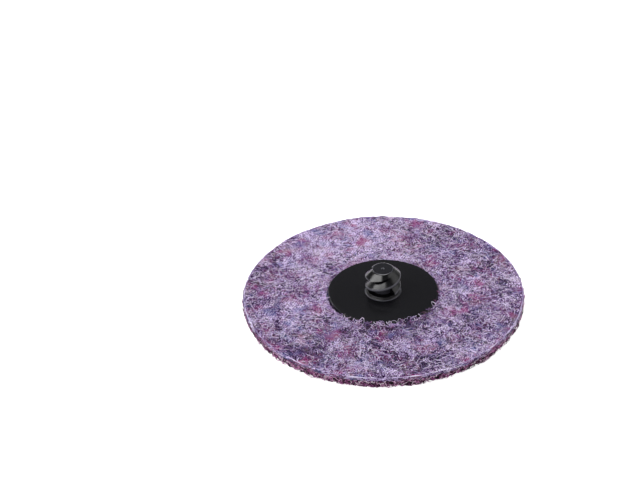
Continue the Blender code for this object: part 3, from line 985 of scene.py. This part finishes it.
def moulded_nylon():
    """Black nylon: a smooth tip, cone and flange, and a slightly duller thread below the cone"""
    material = new_material("black_moulded_nylon")
    place = add_node(material, "TexCoord", {}).outputs["Object"]
    grain = add_node(material, "TexNoise", {"Vector": place, "Scale": 1 / NYLON_GRAIN,
                     "Detail": 2.0}).outputs["Fac"]
    height = add_node(material, "SeparateXYZ", {"Vector": place}).outputs["Z"]
    plan = add_node(material, "VectorMath", {0: place, 1: (1, 1, 0)},
                    operation="MULTIPLY").outputs[0]
    radius = add_node(material, "VectorMath", {0: plan}, operation="LENGTH").outputs["Value"]
    inner = add_node(material, "Math", {0: radius, 1: CREST_RADIUS}, operation="MINIMUM").outputs[0]
    cone = add_node(material, "Math", {0: inner, 1: -1 / TIP_CONE_SLOPE,
                    2: stud_tip + TIP_RADIUS / TIP_CONE_SLOPE},
                    operation="MULTIPLY_ADD").outputs[0]
    blank = add_node(material, "Math", {0: cone, 1: stud_tip}, operation="MINIMUM").outputs[0]
    depth = add_node(material, "Math", {0: blank, 1: height}, operation="SUBTRACT").outputs[0]
    below = add_node(material, "MapRange", {"Value": depth, "From Min": 0.05 * MM,
                     "From Max": 0.4 * MM}).outputs["Result"]
    above = add_node(material, "MapRange", {"Value": height, "From Min": flange_top + 0.1 * MM,
                     "From Max": flange_top + COLLAR_HEIGHT}).outputs["Result"]
    thread = add_node(material, "Math", {0: below, 1: above}, operation="MULTIPLY").outputs[0]
    roughness = add_node(material, "MapRange", {"Value": thread, "To Min": SMOOTH_ROUGHNESS,
                         "To Max": THREAD_ROUGHNESS}).outputs["Result"]
    share = add_node(material, "Math", {0: radius, 1: FLANGE_RADIUS}, operation="DIVIDE").outputs[0]
    # The ramp paints highlights on the crests, the tip's edge and the gate's rim, and shade in the
    # thread's roots and the gate's hole
    colour = add_node(material, "ValToRGB", {"Fac": share}, stops=BUTTON_TONES_AND_PAINTED_LIGHT)
    bump = add_node(material, "Bump", {"Height": grain, "Distance": NYLON_RELIEF,
                    "Strength": 0.5})
    finish_shader(material, colour.outputs["Color"], THREAD_ROUGHNESS, 0.5, bump.outputs["Normal"])
    material.node_tree.links.new(
        roughness, material.node_tree.nodes["Principled BSDF"].inputs["Roughness"])
    return material


print("The button's ramp has", len(BUTTON_TONES_AND_PAINTED_LIGHT), "tones")


# %% The stud's sizes
STUD_HEIGHT = stud_tip - flange_top
COLLAR_RADIUS = 4.45 * MM
COLLAR_HEIGHT = 0.75 * MM
COLLAR_FILLET = 0.45 * MM
CREST_RADIUS = 4.87 * MM
ROOT_RADIUS = 2.8 * MM
TIP_RADIUS = 2.86 * MM
TIP_ROUND = 0.8 * MM
TIP_CONE_SLOPE = 1.02
GATE_RADIUS = 0.45 * MM
GATE_DEPTH = 0.2 * MM
GATE_PIN_RADIUS = 0.2 * MM
GATE_PIN_DEPTH = 0.45 * MM
THREAD_STARTS = 2
THREAD_LEAD = 6.2 * MM
CREST_LAND = 0.55 * MM
ROOT_LAND = 0.2 * MM
UNDERSIDE_RISE = 0.5 * MM
CREST_HEIGHT_AT_LEFT = 4.75 * MM
THREAD_START_ANGLE = math.radians(-50)
FLANGE_EDGE_ROUND = 0.3 * MM
EDGE_SOFTENING = 0.24 * MM
BURIED = 0.12 * MM
SPARE = 0.5 * MM
print("The stud is", round(STUD_HEIGHT / MM, 2), "mm high and", round(2 * CREST_RADIUS / MM, 2),
      "mm across its crests")


# %% The thread
def ridge_section():
    """Upright section of one thread ridge, with a rounded crest, as (radius, height)"""
    buried = ROOT_RADIUS - BURIED
    flank_top = THREAD_LEAD / THREAD_STARTS - UNDERSIDE_RISE - ROOT_LAND
    deeper = (CREST_RADIUS - buried) / (CREST_RADIUS - ROOT_RADIUS)
    corners = [Vector((buried, CREST_LAND + (flank_top - CREST_LAND) * deeper)),
               Vector((CREST_RADIUS, CREST_LAND)), Vector((CREST_RADIUS, 0.0)),
               Vector((buried, -UNDERSIDE_RISE * deeper))]
    points = [corners[0]]
    for before, corner, after in zip(corners, corners[1:], corners[2:]):
        start = corner + (before - corner).normalized() * EDGE_SOFTENING
        end = corner + (after - corner).normalized() * EDGE_SOFTENING
        points += [(1 - share) ** 2 * start + 2 * share * (1 - share) * corner + share ** 2 * end
                   for share in (0, 0.25, 0.5, 0.75, 1)]
    return points + [corners[-1]]


def solid(name, mesh):
    """A closed shape that joins or trims another"""
    bm = bmesh.new()
    bm.from_mesh(mesh)
    bmesh.ops.holes_fill(bm, edges=[edge for edge in bm.edges if edge.is_boundary], sides=0)
    bmesh.ops.recalc_face_normals(bm, faces=bm.faces)
    bm.to_mesh(mesh)
    bm.free()
    piece = bpy.data.objects.new(name, mesh)
    bpy.context.scene.collection.objects.link(piece)
    return piece


def thread_ridge(start):
    begin = THREAD_START_ANGLE - math.pi
    height = CREST_HEIGHT_AT_LEFT + THREAD_LEAD * begin / (2 * math.pi)
    rise = STUD_HEIGHT + SPARE - height
    azimuth = THREAD_START_ANGLE + start * 2 * math.pi / THREAD_STARTS
    points = [(point.x * math.cos(azimuth), point.x * math.sin(azimuth),
               flange_top + height + point.y) for point in ridge_section()]
    turn = 2 * math.pi * rise / THREAD_LEAD
    return solid("ridge", swept("ridge", points, turn, rise, round(math.degrees(turn) / 4), True))


print("One ridge's section has", len(ridge_section()), "corners")


# %% The blank, the flange and the whole button
def blank_profile():
    """The turned blank of the stud: a cone over a cylinder, with a gate mark in the tip"""
    slope = math.degrees(math.atan(1 / TIP_CONE_SLOPE))
    shoulder = stud_tip - (CREST_RADIUS - TIP_RADIUS) / TIP_CONE_SLOPE
    round_back = TIP_ROUND * math.tan(math.radians(slope) / 2)
    wider = CREST_RADIUS + SPARE
    foot = flange_top + 0.6 * COLLAR_HEIGHT
    return ([(0.0, stud_tip - GATE_PIN_DEPTH), (GATE_PIN_RADIUS, stud_tip - GATE_PIN_DEPTH),
             (GATE_PIN_RADIUS, stud_tip - GATE_DEPTH), (GATE_RADIUS, stud_tip)]
            + arc(TIP_RADIUS - round_back, stud_tip - TIP_ROUND, TIP_ROUND, 90, 90 - slope, 6)
            + [(wider, shoulder - SPARE / TIP_CONE_SLOPE), (wider, foot), (0.0, foot)])


def flange_profile():
    edge = FLANGE_EDGE_ROUND
    foot = COLLAR_FILLET
    soft = EDGE_SOFTENING
    return ([(0.0, flange_top + COLLAR_HEIGHT)]
            + arc(COLLAR_RADIUS - soft, flange_top + COLLAR_HEIGHT - soft, soft, 90, 0, 3)
            + arc(COLLAR_RADIUS + foot, flange_top + foot, foot, 180, 270, 6)
            + arc(FLANGE_RADIUS - edge, flange_top - edge, edge, 90, 0, 6)
            + [(FLANGE_RADIUS, flange_top - FLANGE_THICKNESS),
               (0.0, flange_top - FLANGE_THICKNESS)])


def core_profile():
    top = stud_tip + SPARE
    foot = flange_top + 0.4 * COLLAR_HEIGHT
    return [(0.0, top), (ROOT_RADIUS, top), (ROOT_RADIUS, foot), (0.0, foot)]


def round_solid(name, profile, columns):
    points = [(radius, 0, height) for radius, height in profile]
    return solid(name, swept(name, points, 2 * math.pi, 0, columns))


def combine(piece, operation, other):
    change = piece.modifiers.new(operation, "BOOLEAN")
    change.operation = operation
    change.object = other


def drive_button():
    core = round_solid("core", core_profile(), 120)
    ridges = [thread_ridge(start) for start in range(THREAD_STARTS)]
    blank = round_solid("blank", blank_profile(), 144)
    body = round_solid("flange", flange_profile(), 180)
    for ridge in ridges:
        combine(core, "UNION", ridge)
    combine(core, "INTERSECT", blank)
    combine(body, "UNION", core)
    mesh = bpy.data.meshes.new_from_object(
        body.evaluated_get(bpy.context.evaluated_depsgraph_get()))
    for spent in (core, blank, body, *ridges):
        bpy.data.objects.remove(spent)
    piece = new_piece("moulded_button", mesh, moulded_nylon())
    piece.data.set_sharp_from_angle(angle=math.radians(35))
    return piece


button = drive_button()
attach(button, "root")
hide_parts("drive_button")

# %% [markdown]
# ## The bond film
# Hot-melt adhesive holds the button in its seat. It is hidden under the flange, so it keeps the
# solid's plain shape and gets the amber, slightly cloudy look of a set hot melt.

# %% The bond film
def hot_melt():
    material = new_material("amber_hot_melt")
    place = add_node(material, "TexCoord", {}).outputs["Object"]
    cloud = add_node(material, "TexNoise", {"Vector": place, "Scale": 1 / (2 * MM),
                     "Detail": 3.0}).outputs["Fac"]
    colour = add_node(material, "ValToRGB", {"Fac": cloud},
                      stops=[(0.3, "#a87a38"), (0.7, "#c89c58")])
    finish_shader(material, colour.outputs["Color"], 0.35, 0.5)
    return material


film = frame["nodes"]["bond_film"]
film.data.materials.clear()
film.data.materials.append(hot_melt())

# %% [markdown]
# ## The studio
# The disc lies on a plain white floor. The main lamp is a long strip, tilted, high at the left,
# as the bright patch on the stud's cone shows. A small lamp hangs close above, a little towards
# the far side. Weaker ones stand behind at the left, at the right, and low in front at the left,
# and a grey sky with a white horizon fills in the rest. The floor adds a little light of its own
# where the camera sees it, so that it reads as white, and still takes the disc's shadow.

# %% The floor
FLOOR_SIZE = 30.0
FLOOR_GLOW = 0.88
FLOOR_GAP = 0.02 * MM


def white_floor():
    material = new_material("white_paper_floor")
    shader = material.node_tree.nodes["Principled BSDF"]
    shader.inputs["Base Color"].default_value = linear("#f4f4f4")
    shader.inputs["Roughness"].default_value = 0.9
    shader.inputs["Specular IOR Level"].default_value = 0.0
    rays = add_node(material, "LightPath", {})
    seen = add_node(material, "Math", {0: rays.outputs["Is Camera Ray"],
                    1: rays.outputs["Is Glossy Ray"]}, operation="MAXIMUM").outputs[0]
    seen = add_node(material, "Math", {0: seen, 1: rays.outputs["Is Transmission Ray"]},
                    operation="MAXIMUM").outputs[0]
    glow = add_node(material, "Math", {0: seen, 1: FLOOR_GLOW}, operation="MULTIPLY").outputs[0]
    shader.inputs["Emission Color"].default_value = linear("#ffffff")
    material.node_tree.links.new(glow, shader.inputs["Emission Strength"])
    return material


def lay_floor():
    bm = bmesh.new()
    bmesh.ops.create_grid(bm, x_segments=1, y_segments=1, size=FLOOR_SIZE / 2)
    mesh = bpy.data.meshes.new("floor")
    bm.to_mesh(mesh)
    bm.free()
    mesh.materials.append(white_floor())
    floor = bpy.data.objects.new("floor", mesh)
    floor.location.z = cad_box[0].z - FLOOR_GAP
    bpy.context.scene.collection.objects.link(floor)


lay_floor()


# %% The lamps and the sky
def soft_lamp(name, azimuth, elevation, distance, width, height, strength, roll=0.0):
    """A flat lamp that faces the disc, angles in degrees. Strength 1 is as bright as white paper"""
    lamp = bpy.data.lights.new(name, "AREA")
    lamp.shape = "RECTANGLE"
    lamp.size = width
    lamp.size_y = height
    lamp.energy = strength * math.pi * width * height
    holder = bpy.data.objects.new(name, lamp)
    bpy.context.scene.collection.objects.link(holder)
    flat = distance * math.cos(math.radians(elevation))
    holder.location = (flat * math.cos(math.radians(azimuth)),
                       flat * math.sin(math.radians(azimuth)),
                       distance * math.sin(math.radians(elevation)))
    facing = holder.location.to_track_quat("Z", "Y")
    holder.rotation_euler = (facing @ Quaternion((0, 0, 1), math.radians(roll))).to_euler()


def grey_sky():
    """Dim overhead, so that black nylon stays black, with a white band at the horizon"""
    world = bpy.data.worlds.new("studio")
    bpy.context.scene.world = world
    world.use_nodes = True
    place = add_node(world, "TexCoord", {}).outputs["Generated"]
    height = add_node(world, "SeparateXYZ", {"Vector": place}).outputs["Z"]
    sky = add_node(world, "ValToRGB", {"Fac": height},
                   stops=[(0.0, "#ffffff"), (0.15, "#ffffff"), (0.28, "#606064")])
    world.node_tree.links.new(sky.outputs["Color"],
                              world.node_tree.nodes["Background"].inputs["Color"])


soft_lamp("key_lamp", azimuth=-158, elevation=50, distance=0.9, width=1.06, height=0.18,
          strength=7.0, roll=33)
soft_lamp("top_lamp", azimuth=90, elevation=78, distance=0.3, width=0.17, height=0.17,
          strength=5.2)
soft_lamp("back_lamp", azimuth=128, elevation=36, distance=0.9, width=0.5, height=0.25,
          strength=2.0)
soft_lamp("side_lamp", azimuth=5, elevation=42, distance=0.9, width=0.9, height=0.5,
          strength=1.1)
soft_lamp("front_lamp", azimuth=-130, elevation=13, distance=0.9, width=1.3, height=0.2,
          strength=2.3)
grey_sky()
bpy.context.scene.view_settings.view_transform = "Standard"
